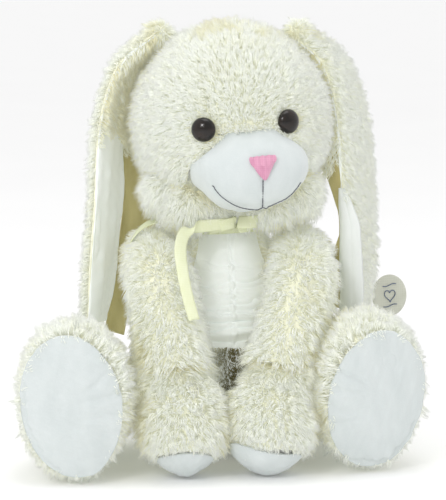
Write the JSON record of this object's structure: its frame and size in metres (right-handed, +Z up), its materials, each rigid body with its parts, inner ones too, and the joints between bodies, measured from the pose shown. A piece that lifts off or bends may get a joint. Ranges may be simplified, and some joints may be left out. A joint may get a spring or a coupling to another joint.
{
  "type": "stuffed bunny rabbit",
  "caption": "Seated lop-eared plush rabbit with long curly fur, smooth belly, muzzle and soles, glossy eyes and a ribbon bow.",
  "frame": {"origin": "on the flat underside of the seat, below the neck, where the rabbit sits on the floor", "axes": "+Z up, square to the seat; -Y the way the rabbit faces; +X its own left"},
  "size_m": [0.4081, 0.3492, 0.4244],
  "materials": {
    "fur": "long curly ivory pile on a knitted backing",
    "smooth_plush": "short white velvety pile",
    "stuffing": "loose white polyester fibre",
    "pellet_cloth": "woven cotton bag of plastic pellets",
    "washer_plastic": "plain white plastic",
    "eye_plastic": "polished dark brown, almost black",
    "nose_satin": "pink satin",
    "thread": "dark grey embroidery thread",
    "ribbon_satin": "pale yellow satin ribbon",
    "label_cloth": "ivory woven label cloth"
  },
  "bodies": {
    "torso": {"seat_panel": "fur", "back_panel_left": "fur", "back_panel_right": "fur", "belly_panel_left": "smooth_plush", "belly_panel_right": "smooth_plush", "body_stuffing": "stuffing", "pellet_bag": "pellet_cloth", "care_label": "label_cloth", "ribbon_collar": "ribbon_satin", "bow_knot": "ribbon_satin", "bow_loop_left": "ribbon_satin", "bow_loop_right": "ribbon_satin", "ribbon_tail_front": "ribbon_satin", "ribbon_tail_shoulder": "ribbon_satin"},
    "neck": {"neck_stuffing": "stuffing"},
    "head": {"head_gusset": "fur", "head_side_left": "fur", "head_side_right": "fur", "head_cheek_left": "fur", "head_cheek_right": "fur", "muzzle_cover": "smooth_plush", "nose_patch": "nose_satin", "mouth_stitching": "thread", "eye_left": "eye_plastic", "eye_right": "eye_plastic", "eye_washer_left": "washer_plastic", "eye_washer_right": "washer_plastic", "head_stuffing": "stuffing"},
    "ear_right_upper": {"ear_right_upper_fur": "fur", "ear_right_upper_lining": "smooth_plush"},
    "ear_right_lower": {"ear_right_lower_fur": "fur", "ear_right_lower_lining": "smooth_plush"},
    "arm_right": {"arm_right_sleeve": "fur", "arm_right_stuffing": "stuffing", "paw_right_cover": "fur", "paw_right_pad": "smooth_plush", "paw_right_stuffing": "stuffing"},
    "leg_right": {"leg_right_cover": "fur", "leg_right_stuffing": "stuffing", "foot_right_cover": "fur", "foot_right_sole": "smooth_plush", "foot_right_stuffing": "stuffing"},
    "ear_left_upper": {"ear_left_upper_fur": "fur", "ear_left_upper_lining": "smooth_plush"},
    "ear_left_lower": {"ear_left_lower_fur": "fur", "ear_left_lower_lining": "smooth_plush", "label_tab": "label_cloth"},
    "arm_left": {"arm_left_sleeve": "fur", "arm_left_stuffing": "stuffing", "paw_left_cover": "fur", "paw_left_pad": "smooth_plush", "paw_left_stuffing": "stuffing"},
    "leg_left": {"leg_left_cover": "fur", "leg_left_stuffing": "stuffing", "foot_left_cover": "fur", "foot_left_sole": "smooth_plush", "foot_left_stuffing": "stuffing"},
    "tail": {"tail_cover": "fur", "tail_stuffing": "stuffing"},
    "round_label": {"round_label": "label_cloth"}
  },
  "joints": [
    {"name": "neck_turn", "type": "hinge", "parent": "torso", "child": "neck", "pos_m": [0.004, 0.002, 0.236], "axis": [0, 0, 1], "range_deg": [-12, 12]},
    {"name": "head_nod", "type": "hinge", "parent": "neck", "child": "head", "pos_m": [0.004, 0.002, 0.246], "axis": [0.9936, 0.1132, 0], "range_deg": [-3, 8]},
    {"name": "ear_right_swing", "type": "hinge", "parent": "head", "child": "ear_right_upper", "pos_m": [-0.063, 0, 0.411], "axis": [0.4067, 0.9135, 0], "range_deg": [0, 40]},
    {"name": "ear_right_bend", "type": "hinge", "parent": "ear_right_upper", "child": "ear_right_lower", "pos_m": [-0.12067, 0.00665, 0.28014], "axis": [0.4067, 0.9135, 0], "range_deg": [0, 35]},
    {"name": "arm_right_raise", "type": "hinge", "parent": "torso", "child": "arm_right", "pos_m": [-0.0715, -0.016, 0.196], "axis": [-1, 0, 0], "range_deg": [0, 28]},
    {"name": "leg_right_spread", "type": "hinge", "parent": "torso", "child": "leg_right", "pos_m": [-0.127, -0.005, 0.045], "axis": [0, 0, -1], "range_deg": [0, 22]},
    {"name": "ear_left_swing", "type": "hinge", "parent": "head", "child": "ear_left_upper", "pos_m": [0.076, 0, 0.412], "axis": [-0.5, -0.866, 0], "range_deg": [0, 40]},
    {"name": "ear_left_bend", "type": "hinge", "parent": "ear_left_upper", "child": "ear_left_lower", "pos_m": [0.14146, -0.00197, 0.28005], "axis": [-0.5, -0.866, 0], "range_deg": [0, 35]},
    {"name": "arm_left_raise", "type": "hinge", "parent": "torso", "child": "arm_left", "pos_m": [0.0775, -0.016, 0.196], "axis": [-1, 0, 0], "range_deg": [0, 28]},
    {"name": "leg_left_spread", "type": "hinge", "parent": "torso", "child": "leg_left", "pos_m": [0.134, -0.003, 0.045], "axis": [0, 0, 1], "range_deg": [0, 22]},
    {"name": "tail_wag", "type": "hinge", "parent": "torso", "child": "tail", "pos_m": [0, 0.119, 0.05], "axis": [0, 0, 1], "range_deg": [-12, 12]},
    {"name": "label_swing", "type": "hinge", "parent": "ear_left_lower", "child": "round_label", "pos_m": [0.15858, 0.02999, 0.15652], "axis": [0, 1, 0], "range_deg": [-12, 12]}
  ]
}
